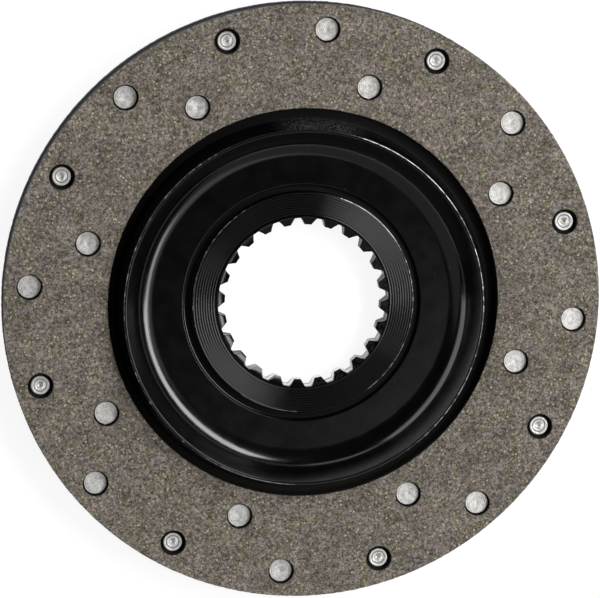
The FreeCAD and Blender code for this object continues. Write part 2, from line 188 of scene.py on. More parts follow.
class Shade:
    """A material or world written as a chain of small calls. Each call returns an output socket."""

    def __init__(self, owner):
        owner.use_nodes = True
        self.tree = owner.node_tree
        self.tree.nodes.clear()

    def node(self, kind, **settings):
        made = self.tree.nodes.new(kind)
        for name, value in settings.items():
            setattr(made, name, value)
        return made

    def feed(self, socket, value):
        if isinstance(value, bpy.types.NodeSocket):
            self.tree.links.new(value, socket)
        elif value is not None:
            socket.default_value = value

    def math(self, operation, *values):
        made = self.node("ShaderNodeMath", operation=operation)
        for socket, value in zip(made.inputs, values):
            self.feed(socket, value)
        return made.outputs[0]

    def vector(self, operation, *values):
        made = self.node("ShaderNodeVectorMath", operation=operation)
        for socket, value in zip(made.inputs, values):
            self.feed(socket, value)
        return made.outputs["Value" if operation in ("LENGTH", "DISTANCE") else "Vector"]

    def ramp(self, value, low, high, to_low=0.0, to_high=1.0):
        """A smooth step from one value to another as the input goes from low to high."""
        made = self.node("ShaderNodeMapRange", interpolation_type="SMOOTHSTEP")
        for socket, number in zip(made.inputs, (value, low, high, to_low, to_high)):
            self.feed(socket, number)
        return made.outputs[0]

    def band(self, value, low, high, soft):
        """1 between low and high, falling to 0 over soft on either side."""
        rise = self.ramp(value, low - soft, low)
        fall = self.ramp(value, high, high + soft, 1.0, 0.0)
        return self.math("MULTIPLY", rise, fall)

    def noise(self, place, scale, detail=2.0, roughness=0.5, distortion=0.0):
        made = self.node("ShaderNodeTexNoise")
        self.feed(made.inputs["Vector"], place)
        self.feed(made.inputs["Scale"], scale)
        self.feed(made.inputs["Detail"], detail)
        self.feed(made.inputs["Roughness"], roughness)
        self.feed(made.inputs["Distortion"], distortion)
        return made.outputs["Fac"]

    def cells(self, place, scale, randomness=1.0):
        """Distance to the nearest of many scattered points, in shares of their spacing."""
        made = self.node("ShaderNodeTexVoronoi")
        self.feed(made.inputs["Vector"], place)
        self.feed(made.inputs["Scale"], scale)
        self.feed(made.inputs["Randomness"], randomness)
        return made.outputs["Distance"]

    def mix(self, share, first, second):
        made = self.node("ShaderNodeMix", data_type="RGBA")
        self.feed(made.inputs["Factor"], share)
        self.feed(made.inputs["A"], first)
        self.feed(made.inputs["B"], second)
        return made.outputs["Result"]

    def tint(self, colour, factor):
        """The colour times a grey factor."""
        made = self.node("ShaderNodeVectorMath", operation="SCALE")
        self.feed(made.inputs[0], colour)
        self.feed(made.inputs["Scale"], factor)
        return made.outputs["Vector"]

    def bump(self, height, depth, normal=None):
        """Relief of a height from 0 to 1 that stands for depth metres."""
        made = self.node("ShaderNodeBump")
        self.feed(made.inputs["Height"], height)
        self.feed(made.inputs["Strength"], 1.0)
        self.feed(made.inputs["Distance"], depth)
        self.feed(made.inputs["Normal"], normal)
        return made.outputs["Normal"]

    def place(self):
        return self.node("ShaderNodeTexCoord").outputs["Object"]

    def polar(self, place):
        """Distance from the axis in millimetres, the photograph's angle from 0 to a turn, and height."""
        flat = self.node("ShaderNodeSeparateXYZ")
        self.feed(flat.inputs[0], place)
        ground = self.vector("MULTIPLY", place, (1, 1, 0))
        radius = self.math("MULTIPLY", self.vector("LENGTH", ground), 1 / MM)
        angle = self.math("ARCTAN2", flat.outputs["Y"], flat.outputs["X"])
        angle = self.math("ADD", angle, PHOTO_TURN + FULL_TURN)
        return radius, self.math("MODULO", angle, FULL_TURN), flat.outputs["Z"]

    def arc(self, angle, middle, half, soft=8):
        """1 within half of a direction of the photograph, 0 beyond, all three in degrees."""
        apart = self.math("COSINE", self.math("SUBTRACT", angle, math.radians(middle)))
        outer = math.cos(math.radians(min(half + soft, 179)))
        return self.ramp(apart, outer, math.cos(math.radians(max(half - soft, 0))))

    def arcs(self, angle, stretches):
        """The greatest of several stretches: direction, half width and strength."""
        total = 0.0
        for middle, half, strength in stretches:
            stretch = self.math("MULTIPLY", self.arc(angle, middle, half), strength)
            total = self.math("MAXIMUM", stretch, total)
        return total

    def marks(self, place, spots):
        """1 at small marks, each the photograph's angle in degrees, then radius, height and size in mm."""
        total = 0.0
        for angle, radius, height, size in spots:
            angle = math.radians(angle)
            spot = turned((radius * math.cos(angle), radius * math.sin(angle), height)) * MM
            away = self.vector("DISTANCE", place, spot)
            mark = self.ramp(away, size * 0.3 * MM, size * 0.6 * MM, 1.0, 0.0)
            total = self.math("MAXIMUM", mark, total)
        return total

    def surface(self, shader):
        out = self.node("ShaderNodeOutputMaterial")
        self.tree.links.new(shader, out.inputs["Surface"])

    def principled(self, **values):
        made = self.node("ShaderNodeBsdfPrincipled")
        for name, value in values.items():
            self.feed(made.inputs[name.replace("_", " ")], value)
        return made.outputs[0]


def grey(value):
    return (value, value, value, 1)


def floor_material():
    """Near-white for whatever looks at it, with some of the real shading left in."""
    material = bpy.data.materials.new("pale_floor")
    shade = Shade(material)
    path = shade.node("ShaderNodeLightPath").outputs
    seen = shade.math("MAXIMUM", path["Is Camera Ray"], path["Is Glossy Ray"])
    seen = shade.math("MAXIMUM", seen, path["Is Transmission Ray"])
    matt = shade.node("ShaderNodeBsdfDiffuse")
    matt.inputs["Color"].default_value = grey(0.8)
    shaded = shade.node("ShaderNodeBsdfDiffuse")
    shaded.inputs["Color"].default_value = grey(0.2)
    glow = shade.node("ShaderNodeEmission")
    glow.inputs["Color"].default_value = grey(1.0)
    glow.inputs["Strength"].default_value = 0.88
    bright = shade.node("ShaderNodeAddShader")
    shade.feed(bright.inputs[0], shaded.outputs[0])
    shade.feed(bright.inputs[1], glow.outputs[0])
    choice = shade.node("ShaderNodeMixShader")
    shade.feed(choice.inputs[0], seen)
    shade.feed(choice.inputs[1], matt.outputs[0])
    shade.feed(choice.inputs[2], bright.outputs[0])
    shade.surface(choice.outputs[0])
    return material


def add_floor():
    mesh = bpy.data.meshes.new("floor")
    reach = 6.0
    corners = [(-reach, -reach, 0), (reach, -reach, 0), (reach, reach, 0), (-reach, reach, 0)]
    mesh.from_pydata(corners, [], [(0, 1, 2, 3)])
    mesh.materials.append(floor_material())
    floor = bpy.data.objects.new("floor", mesh)
    floor.location.z = -0.0002
    bpy.context.scene.collection.objects.link(floor)


def add_softbox(name, place, along, width, height, radiance):
    """A soft lamp that faces the disc, its width along the given direction. Photograph's frame, metres."""
    light = bpy.data.lights.new(name, "AREA")
    light.shape = "RECTANGLE"
    light.size = width
    light.size_y = height
    light.energy = radiance * width * height * math.pi
    lamp = bpy.data.objects.new(name, light)
    bpy.context.scene.collection.objects.link(lamp)
    place = turned(place)
    back = place.normalized()
    side = turned(along)
    side = (side - back * side.dot(back)).normalized()
    axes = Matrix((side, back.cross(side), back)).transposed()
    lamp.matrix_world = Matrix.Translation(place) @ axes.to_4x4()
    lamp.visible_camera = False


# Each lamp's place, the direction of its width, its width and height, and its radiance
SOFTBOXES = {
    "right_strip": ((1.10, 0.56, 1.10), (-0.25, 0.94, -0.21), 2.05, 0.56, 9.0),
    "right_panel": ((0.90, -0.46, 1.28), (0.46, 0.89, 0), 0.45, 0.40, 4.4),
    "lower_right_panel": ((0.66, -0.52, 1.42), (0.62, 0.78, 0), 0.8, 0.8, 0.55),
    "left_strip": ((-1.6, 0.74, 0.48), (0, 1, 0), 2.6, 0.96, 2.1),
    "front_fill": ((-0.35, -1.39, 1.11), (0.94, -0.34, 0), 3.8, 2.9, 0.26),
    "back_strip": ((-0.235, 1.675, 0.30), (1, 0, 0), 0.9, 0.16, 1.8),
}


def add_world():
    """White up to just above the horizon, like the floor's far end, and a dim ceiling above it."""
    world = bpy.data.worlds.new("studio")
    bpy.context.scene.world = world
    shade = Shade(world)
    direction = shade.node("ShaderNodeTexCoord").outputs["Generated"]
    height = shade.node("ShaderNodeSeparateXYZ")
    shade.feed(height.inputs[0], direction)
    sky = shade.ramp(height.outputs["Z"], 0.08, 0.16)
    background = shade.node("ShaderNodeBackground")
    shade.feed(background.inputs["Color"], shade.mix(sky, grey(1.0), grey(0.012)))
    out = shade.node("ShaderNodeOutputWorld")
    shade.feed(out.inputs["Surface"], background.outputs[0])


def bore_radius(angle):
    """The spline's outline: tooth tips, involute flanks and roots."""
    pitch = FULL_TURN / TEETH
    from_space = abs((angle - SPLINE_ANGLE + pitch / 2) % pitch - pitch / 2)
    low, high = TIP_RADIUS, ROOT_RADIUS
    if from_space >= space_half_angle(low):
        return low
    if from_space <= space_half_angle(high):
        return high
    for _ in range(20):
        middle = (low + high) / 2
        if space_half_angle(middle) > from_space:
            low = middle
        else:
            high = middle
    return (low + high) / 2


def involute(angle):
    return math.tan(angle) - angle


def space_half_angle(radius):
    """Half the angle that a tooth space takes at a radius."""
    base = PITCH_RADIUS * math.cos(PRESSURE_ANGLE)
    at_pitch = SPACE_WIDTH / 2 / PITCH_RADIUS
    return at_pitch + involute(PRESSURE_ANGLE) - involute(math.acos(base / radius))


def spline_columns():
    """Angles round the disc, closer together where the teeth's corners are."""
    pitch = FULL_TURN / TEETH
    root = space_half_angle(ROOT_RADIUS)
    tip = space_half_angle(TIP_RADIUS)
    corner = math.radians(0.28)
    half = [0.0, root * 0.5, root - corner, root, root + corner]
    half += [root + (tip - root) * share for share in (0.35, 0.6, 0.8)]
    half += [tip - corner * 0.6, tip, tip + corner, (tip + pitch / 2) / 2]
    offsets = sorted({-value for value in half if value > 0} | set(half) | {pitch / 2})
    return [
        SPLINE_ANGLE + tooth * pitch + offset
        for tooth in range(TEETH)
        for offset in offsets
    ]


def rounded(corners):
    """The points of an outline whose inner corners are (x, y, radius, steps) arcs."""
    points = []
    for index, (x, y, radius, steps) in enumerate(corners):
        if not radius:
            points.append((x, y))
            continue
        here = Vector((x, y))
        before = (Vector(corners[index - 1][:2]) - here).normalized()
        after = (Vector(corners[index + 1][:2]) - here).normalized()
        half = before.angle(after) / 2
        reach = radius / math.tan(half)
        middle = here + (before + after).normalized() * radius / math.sin(half)
        first = here + before * reach - middle
        sweep = first.angle_signed(here + after * reach - middle)
        for step in range(steps + 1):
            offset = Matrix.Rotation(-sweep * step / steps, 2) @ first
            points.append(tuple(middle + offset))
    return points


def with_guards(points, longest=1.5, guard=0.25):
    """The outline with a point close to both ends of each long straight, so that it is shaded flat."""
    guarded = [points[0]]
    for first, second in zip(points, points[1:]):
        run = Vector(second) - Vector(first)
        if run.length > longest:
            step = run.normalized() * guard
            guarded += [tuple(Vector(first) + step), tuple(Vector(second) - step)]
        guarded.append(second)
    return guarded


def add_rings(bm, rings):
    """Quads between each ring of points and the next."""
    made = [[bm.verts.new(point) for point in ring] for ring in rings]
    for inner, outer in zip(made, made[1:]):
        for index in range(len(inner)):
            after = (index + 1) % len(inner)
            bm.faces.new((inner[index], inner[after], outer[after], outer[index]))


def polar_point(radius, angle, height):
    return Vector((radius * math.cos(angle), radius * math.sin(angle), height))


def circle(radius, angles, height, centre=(0.0, 0.0)):
    return [
        Vector((centre[0] + radius * math.cos(angle), centre[1] + radius * math.sin(angle), height))
        for angle in angles
    ]


def even_angles(count):
    return [FULL_TURN * index / count for index in range(count)]


def add_plate(bm, height, inner, outer, holes):
    """A flat ring at a height, between two round loops of points and clear of the holes' loops.

    A triangle with all its corners on one inner loop lies inside that loop, and is left out."""
    points = []
    edges = []
    owners = []
    for number, loop in enumerate([outer, inner] + holes):
        start = len(points)
        points += [point.to_2d() for point in loop]
        edges += [(start + index, start + (index + 1) % len(loop)) for index in range(len(loop))]
        owners += [number] * len(loop)
    places, _, triangles, origins = delaunay_2d_cdt(points, edges, [], 0, 1e-6)[:4]
    verts = [bm.verts.new((place.x, place.y, height)) for place in places]
    for triangle in triangles:
        loops = {owners[origins[index][0]] for index in triangle}
        if len(loops) > 1 or loops == {0}:
            bm.faces.new([verts[index] for index in triangle])
    bmesh.ops.delete(bm, geom=[vert for vert in verts if not vert.link_faces], context="VERTS")


def new_piece(bm, name, nodes, materials, sharp=35):
    """Close the mesh into an object that stands for CAD nodes, shaded smooth but for its sharp edges."""
    bmesh.ops.remove_doubles(bm, verts=bm.verts, dist=0.002)
    bmesh.ops.recalc_face_normals(bm, faces=bm.faces)
    for face in bm.faces:
        face.smooth = True
    for edge in bm.edges:
        if len(edge.link_faces) == 2 and edge.calc_face_angle() > math.radians(sharp):
            edge.smooth = False
    bmesh.ops.scale(bm, vec=(MM, MM, MM), verts=bm.verts)
    mesh = bpy.data.meshes.new(name)
    bm.to_mesh(mesh)
    bm.free()
    for material in materials:
        mesh.materials.append(material)
    piece = bpy.data.objects.new(name, mesh)
    bpy.context.scene.collection.objects.link(piece)
    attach(piece, "root")
    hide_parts(*nodes)
    return piece


# The pressed rib of the photographed disc runs out of true towards this angle, and is a little oval
RUN_OUT = 0.9
RUN_OUT_ANGLE = math.radians(231)
OVAL = 0.28
OVAL_ANGLE = math.radians(-12)


def run_out(radius, angle):
    """How far the relief and rib stand off their true place at an angle, in millimetres outwards."""
    if not BOSS_RADIUS + 0.3 < radius < LINING_BORE_RADIUS - 1:
        return 0.0
    rib = smooth_step(50, 62, radius)
    share = (0.55 + 0.45 * rib) * smooth_step(BOSS_RADIUS, BOSS_RADIUS + 1.2, radius)
    share *= smooth_step(LINING_BORE_RADIUS - 1, RIB_FOOT, radius)
    shift = RUN_OUT * share * math.cos(in_photo(angle) - RUN_OUT_ANGLE)
    oval = OVAL * rib * math.cos(2 * (in_photo(angle) - OVAL_ANGLE))
    return shift + oval * smooth_step(LINING_BORE_RADIUS - 1, RIB_FOOT, radius)


def centre_front():
    """The front of the centre's section, from the first turned groove out to the lining."""
    outermost = BOSS_RADIUS - GROOVE_MARGIN
    count = int((outermost - LEAD_IN_RADIUS - GROOVE_MARGIN) / GROOVE_PITCH)
    innermost = outermost - count * GROOVE_PITCH
    grooves = []
    for number in range(count):
        for share, cut in GROOVE_SHAPE:
            grooves.append((innermost + (number + share) * GROOVE_PITCH, BOSS_FRONT - GROOVE_DEPTH * cut))
    relief_floor = WEB_FRONT - RELIEF_DEPTH
    outline = rounded([
        (outermost, BOSS_FRONT, 0, 0),
        (BOSS_RADIUS, BOSS_FRONT, BOSS_EDGE_ROUND, 4),
        (BOSS_RADIUS, relief_floor, RELIEF_FILLET, 5),
        (RELIEF_RADIUS, relief_floor, RELIEF_FILLET, 5),
        (RELIEF_RADIUS, WEB_FRONT, WEB_EDGE_ROUND, 4),
        (WEB_CORNER, WEB_FRONT, RIB_FILLET, 24),
        (CREST_INNER, RIB_TOP, CREST_INNER_ROUND, 5),
        (CREST_OUTER, RIB_TOP, CREST_ROUND, 6),
        (RIB_FOOT, FLANGE_FRONT, FOOT_FILLET, 6),
        (LINING_BORE_RADIUS - LINING_OVERLAP, FLANGE_FRONT, 0, 0),
    ])
    return grooves + with_guards(outline)


def centre_rear():
    """The rear of the same section, from the lining in to just outside the spline's roots."""
    return with_guards(rounded([
        (LINING_BORE_RADIUS - LINING_OVERLAP, FLANGE_REAR, 0, 0),
        (BOSS_RADIUS, FLANGE_REAR, BOSS_FOOT_FILLET, 4),
        (BOSS_RADIUS, BOSS_REAR, BOSS_EDGE_ROUND, 4),
        (ROOT_RADIUS + 0.3, BOSS_REAR, 0, 0),
    ]))


def rivet_places():
    """The centre of every rivet, with its ring's name and its number in the ring."""
    for ring, (radius, first, side) in RINGS.items():
        for number in range(RIVETS_A_RING):
            angle = first + FULL_TURN * number / RIVETS_A_RING
            yield ring, number, side, (radius * math.cos(angle), radius * math.sin(angle))


def on_worn_and_highlit_edge(middle):
    """Whether a face lies on the outer edge of the rib's crest or of the boss's front."""
    out = middle.to_2d().length
    if middle.z > RIB_TOP - CREST_ROUND * 0.75:
        true_place = out - run_out(RIB_FOOT - 2, math.atan2(middle.y, middle.x))
        return true_place > CREST_OUTER - CREST_ROUND
    return middle.z > BOSS_FRONT - 0.25 and BOSS_RADIUS - BOSS_EDGE_ROUND < out < BOSS_RADIUS + 0.05


def make_centre(paint, crest):
    """The splined centre: boss with its spline, web, rib and pierced flange."""
    bm = bmesh.new()
    columns = spline_columns()
    bores = [bore_radius(angle) for angle in columns]

    def ring(radius, height):
        return [polar_point(radius + run_out(radius, angle), angle, height) for angle in columns]

    def bore_ring(height):
        return [polar_point(bore, angle, height) for angle, bore in zip(columns, bores)]

    def cone_ring(mouth, end):
        """Where each column of the bore meets the lead-in cone that opens at the mouth's height."""
        points = []
        for angle, bore in zip(columns, bores):
            share = min((bore - TIP_RADIUS) / (LEAD_IN_RADIUS - TIP_RADIUS), 1.0)
            points.append(polar_point(bore, angle, end + (mouth - end) * share))
        return points

    def mouth_ring(height):
        return [
            polar_point(max(bore, LEAD_IN_RADIUS), angle, height)
            for angle, bore in zip(columns, bores)
        ]

    rings = [ring(*point) for point in centre_rear()]
    rings += [mouth_ring(BOSS_REAR), cone_ring(BOSS_REAR, BOSS_REAR + LEAD_IN_DEPTH)]
    rings += [bore_ring(BOSS_REAR + (BOSS_FRONT - BOSS_REAR) * share) for share in (0.4, 0.6)]
    rings += [cone_ring(BOSS_FRONT, BOSS_FRONT - LEAD_IN_DEPTH), mouth_ring(BOSS_FRONT)]
    rings += [ring(*point) for point in centre_front()]
    add_rings(bm, rings)

    rim = even_angles(720)
    hole = even_angles(48)
    places = [place for _, _, _, place in rivet_places()]
    for height in (FLANGE_REAR, FLANGE_FRONT):
        inner = ring(LINING_BORE_RADIUS - LINING_OVERLAP, height)
        outer = circle(FLANGE_RADIUS, rim, height)
        holes = [circle(SHANK_RADIUS, hole, height, place) for place in places]
        add_plate(bm, height, inner, outer, holes)
    add_rings(bm, [circle(FLANGE_RADIUS, rim, height) for height in (FLANGE_REAR, FLANGE_FRONT)])
    for place in places:
        add_rings(bm, [circle(SHANK_RADIUS, hole, height, place) for height in (FLANGE_REAR, FLANGE_FRONT)])
    # The outer edges of the crest and of the boss take bare steel, for real wear and for a painted
    # highlight.
    for face in bm.faces:
        face.material_index = int(on_worn_and_highlit_edge(face.calc_center_median()))
    return new_piece(bm, "painted_centre", ["splined_centre"], [paint, crest], 36)


# How far the friction material's broken edges are worn back
EDGE_ROUND = 0.18
EDGE_WEAR = 0.12


def worn(point, centre, amount):
    """The point moved towards the solid side of an edge by an uneven amount."""
    out = Vector((point.x - centre[0], point.y - centre[1], 0)).normalized()
    rough = noise.noise(point * 0.9) + 0.5 * noise.noise(point * 2.3)
    return point + out * amount * rough


def make_lining(name, node, seat, face, material):
    """A lining whose rivet holes are counterbored from its friction face."""
    bm = bmesh.new()
    up = 1 if face > seat else -1
    around = even_angles(1080)
    hole = even_angles(72)
    ledge = seat + up * SEAT_THICKNESS

    def edge_profile(radius, out):
        """From the friction face round a broken edge and down to the other face."""
        return rounded([
            (radius - out, face, 0, 0),
            (radius, face, EDGE_ROUND, 3),
            (radius, seat, 0, 0),
        ])

    def loops(profile, angles, centre):
        made = []
        for radius, height in profile:
            loop = circle(radius, angles, height, centre)
            if abs(height - seat) > 0.01:
                loop = [worn(point, centre, EDGE_WEAR) for point in loop]
            made.append(loop)
        return made

    def plain_loops(profile, angles, centre):
        return [circle(radius, angles, height, centre) for radius, height in profile]

    rim_profile = edge_profile(DISC_RADIUS - EDGE_WEAR, 0.8)
    bore_profile = edge_profile(LINING_BORE_RADIUS, -0.8)
    rim_loops = loops(rim_profile[1:], around, (0.0, 0.0))
    bore_loops = loops(bore_profile[1:], around, (0.0, 0.0))
    rim_loops.insert(0, circle(rim_profile[0][0], around, face))
    bore_loops.insert(0, circle(bore_profile[0][0], around, face))
    add_rings(bm, rim_loops)
    add_rings(bm, bore_loops)

    bores = []
    for _, _, _, place in rivet_places():
        sunk = rounded([
            (COUNTERBORE_RADIUS + 0.5, face, 0, 0),
            (COUNTERBORE_RADIUS, face, EDGE_ROUND, 3),
            (COUNTERBORE_RADIUS, ledge, 0, 0),
        ])
        made = loops(sunk[1:-1], hole, place)
        made.insert(0, circle(sunk[0][0], hole, face, place))
        made += plain_loops([sunk[-1], (SHANK_RADIUS, ledge), (SHANK_RADIUS, seat)], hole, place)
        add_rings(bm, made)
        bores.append((made[0], made[-1]))
    add_plate(bm, face, bore_loops[0], rim_loops[0], [top for top, _ in bores])
    add_plate(bm, seat, bore_loops[-1], rim_loops[-1], [low for _, low in bores])
    return new_piece(bm, name, [node], [material])


def head_profile(seat, side):
    """Half of a rivet's head, from the middle of its slightly dished top to the shank."""
    top = seat + side * HEAD_THICKNESS
    dish = side * HEAD_DISH
    points = [(0.25, top - 2.2 * dish), (0.5, top - 1.6 * dish), (1.2, top - dish), (2.4, top - 0.5 * dish)]
    points += rounded([
        (3.3, top - 0.1 * dish, 0, 0),
        (HEAD_RADIUS, top, 0.26, 6),
        (HEAD_RADIUS, seat, 0.12, 3),
        (SHANK_RADIUS, seat, 0, 0),
    ])
    return points


def tail_profile(seat, side):
    """Half of a rivet's rolled tail, from the shank round the rolled rim into its hollow."""
    crown = seat + side * TAIL_HEIGHT
    return rounded([
        (SHANK_RADIUS, seat, 0, 0),
        (TAIL_RADIUS, seat, 0.2, 3),
        (TAIL_RADIUS, crown, 0.26, 6),
        (2.72, crown, 0.16, 4),
        (2.5, crown - side * 0.5, 0.12, 3),
        (2.2, crown - side * 0.5, 0.12, 3),
        (1.98, crown - side * 0.12, 0.12, 3),
        (1.62, crown - side * 0.16, 0.22, 4),
        (0.85, crown - side * 1.5, 0.4, 5),
        (0.06, crown - side * 2.1, 0, 0),
    ])


# Burrs on the rivet heads: ring, the photograph's angle of the rivet's centre and direction of the burr,
# and how far it stands out in millimetres
BURRS = [
    ("outer_front_rivets", 84.5, 205, 0.5),
    ("outer_front_rivets", 174.5, 10, 0.45),
    ("inner_front_rivets", 72.5, 268, 0.4),
    ("inner_front_rivets", 162.5, 5, 0.55),
    ("inner_front_rivets", 207.5, 262, 0.35),
    ("inner_front_rivets", 252.5, 255, 0.35),
]


def burr_at(ring, centre_angle, direction):
    """How far a head's rim bulges in a direction, both angles in the photograph's frame."""
    bulge = 0.0
    for name, place, towards, size in BURRS:
        if name == ring and turn_apart(math.radians(place), centre_angle) < math.radians(5):
            apart = turn_apart(math.radians(towards), direction)
            bulge += size * max(0.0, 1 - apart / math.radians(16)) ** 2
    return bulge


def make_rivet(ring, number, side, place, materials):
    """One set rivet: head, shank and rolled tail, each a little different from the next."""
    bm = bmesh.new()
    around = even_angles(72)
    head_seat = FLANGE_FRONT + SEAT_THICKNESS if side > 0 else FLANGE_REAR - SEAT_THICKNESS
    tail_seat = FLANGE_REAR - SEAT_THICKNESS if side > 0 else FLANGE_FRONT + SEAT_THICKNESS
    profile = head_profile(head_seat, side) + tail_profile(tail_seat, -side)
    centre = Vector((place[0], place[1], 0))
    centre_angle = in_photo(math.atan2(place[1], place[0]))
    seed = Vector((number * 7.3 + place[0] * 0.11, place[1] * 0.13, side * 3.1))

    def point(radius, height, angle):
        out = radius
        direction = Vector((math.cos(angle), math.sin(angle), 0))
        if radius > SHANK_RADIUS + 0.4 and abs(height - head_seat) < HEAD_THICKNESS + 0.2:
            out += 0.07 * noise.noise(seed + direction * 1.4)
            out += burr_at(ring, centre_angle, in_photo(angle)) * (radius / HEAD_RADIUS) ** 3
        elif radius > 0.8 and abs(height - tail_seat) < TAIL_HEIGHT + 0.2:
            out += 0.06 * noise.noise(seed + direction * 1.9)
        ripple = 0.02 * noise.noise(seed + direction * radius * 0.9 + Vector((0, 0, height)))
        return direction * out + Vector((0, 0, height + ripple))

    rings = [[point(radius, height, angle) for angle in around] for radius, height in profile]
    add_rings(bm, rings)
    for end in (rings[0], rings[-1]):
        bm.verts.ensure_lookup_table()
        close = [
            min(bm.verts, key=lambda vert, spot=spot: (vert.co - spot).length_squared)
            for spot in end
        ]
        bm.faces.new(close)
    for face in bm.faces:
        face.material_index = int((face.calc_center_median().z - tail_seat) * side < 0)
    bmesh.ops.translate(bm, vec=Vector((0, 0, -MID_PLANE)), verts=bm.verts)
    piece = new_piece(bm, f"{ring[:-1]}_{number + 1}", [ring], materials, 60)
    piece.matrix_world = Matrix.Translation((centre + Vector((0, 0, MID_PLANE))) * MM)
    return piece


# What shows on the photographed disc. Nicks and marks have a direction in degrees, a radius, a height
# and a size. Worn and highlit stretches, bare steel for real wear and for a painted highlight, have a
# direction and half width in degrees, and a strength.
CREST_NICKS = [
    (73.9, 66.4, 17.4, 0.9), (65.8, 66.5, 17.4, 0.8), (62.6, 66.5, 17.4, 1.2), (51.4, 66.5, 17.4, 0.7),
    (43.9, 66.5, 17.4, 0.9), (199.8, 67.6, 17.4, 1.6), (202.1, 67.6, 17.4, 1.0), (210.0, 67.7, 17.4, 1.3),
    (226.4, 67.9, 17.4, 0.9), (249.0, 67.6, 17.4, 1.1), (321.2, 66.9, 17.4, 1.8), (315.8, 66.9, 17.4, 1.2),
]
WORN_AND_HIGHLIT_STRETCHES = [
    (50, 22, 0.70), (8, 30, 0.53), (322, 18, 0.58), (290, 20, 0.34), (150, 38, 0.50), (188, 25, 0.40),
    (250, 16, 0.64),
]
WEB_MARKS = [
    (309.4, 51.5, 7.3, 0.7), (309.9, 52.3, 7.3, 0.6), (309.8, 53.2, 7.3, 0.6), (309.3, 54.2, 7.3, 0.6),
    (308.6, 55.4, 7.4, 0.7), (313.8, 59.8, 8.6, 1.0), (13.0, 49.4, 7.3, 0.6), (12.0, 49.8, 7.3, 0.5),
    (10.9, 50.2, 7.3, 0.5), (9.8, 50.6, 7.3, 0.5), (8.6, 51.0, 7.3, 0.6), (11.1, 56.7, 7.5, 0.9),
    (68.6, 44.9, 7.2, 0.9), (66.8, 45.0, 7.2, 0.7), (238.0, 52.5, 7.3, 0.7), (262.0, 49.0, 7.3, 0.6),
]


def add_dirt(shade, place, radius, angle, fine, colour):
    """Dust, a streaked patch and scratches. Gives the colour, and where the dust and the patch lie."""
    band = shade.band(radius, RIB_FOOT - 1.5, LINING_BORE_RADIUS, 1.0)
    dust = shade.arcs(angle, [(50, 28, 0.7), (252, 40, 1.0), (305, 30, 0.45)])
    dust = shade.math("MULTIPLY", dust, shade.ramp(fine, 0.4, 0.7, 0.4, 1.0))
    dust = shade.math("MULTIPLY", dust, band)
    colour = shade.mix(dust, colour, (0.0105, 0.0100, 0.0090, 1))
    streaks = shade.noise(shade.vector("MULTIPLY", place, (2.2, 0.7, 1.0)), 700, 4, 0.7)
    patch = shade.math("MULTIPLY", shade.arc(angle, 84, 5, 12), shade.ramp(streaks, 0.35, 0.70))
    patch = shade.math("MULTIPLY", patch, shade.band(radius, 66.9, 68.0, 1.8))
    colour = shade.mix(patch, colour, (0.055, 0.053, 0.049, 1))
    marks = shade.marks(place, WEB_MARKS)
    colour = shade.mix(shade.math("MULTIPLY", marks, shade.ramp(fine, 0.4, 0.6)), colour, grey(0.03))
    return colour, dust, patch


def add_bare_teeth(shade, radius, angle, level, fine, colour):
    """Cut steel in the spline, and a painted sheen on the teeth towards the right. Gives the colour, where
    the steel is bare, and the bore's wall.
    """
    bore = shade.ramp(radius, ROOT_RADIUS + 0.02, ROOT_RADIUS + 0.12, 1.0, 0.0)
    wall = shade.band(level, BOSS_REAR + LEAD_IN_DEPTH + 0.05, BOSS_FRONT - LEAD_IN_DEPTH - 0.05, 0.05)
    wall = shade.math("MULTIPLY", bore, wall)
    bare = shade.arcs(angle, [(270, 38, 1.0), (322, 16, 0.6)])
    steel = shade.math("MULTIPLY", wall, bare)
    cut = shade.math("MULTIPLY", wall, shade.arc(angle, 350, 60, 14))
    colour = shade.mix(cut, colour, grey(0.035))
    # Painted sheen: a lighter grey speckle on the lead-in and teeth towards the right stands for their
    # reflection.
    tooth = shade.math("MULTIPLY", shade.ramp(radius, ROOT_RADIUS, ROOT_RADIUS + 0.4, 1.0, 0.0),
                       shade.arc(angle, 335, 60, 18))
    tooth = shade.math("MULTIPLY", tooth, shade.ramp(fine, 0.42, 0.6))
    colour = shade.mix(shade.math("MULTIPLY", tooth, 0.5), colour, grey(0.030))
    colour = shade.mix(steel, colour, (0.80, 0.79, 0.77, 1))
    return colour, steel, wall


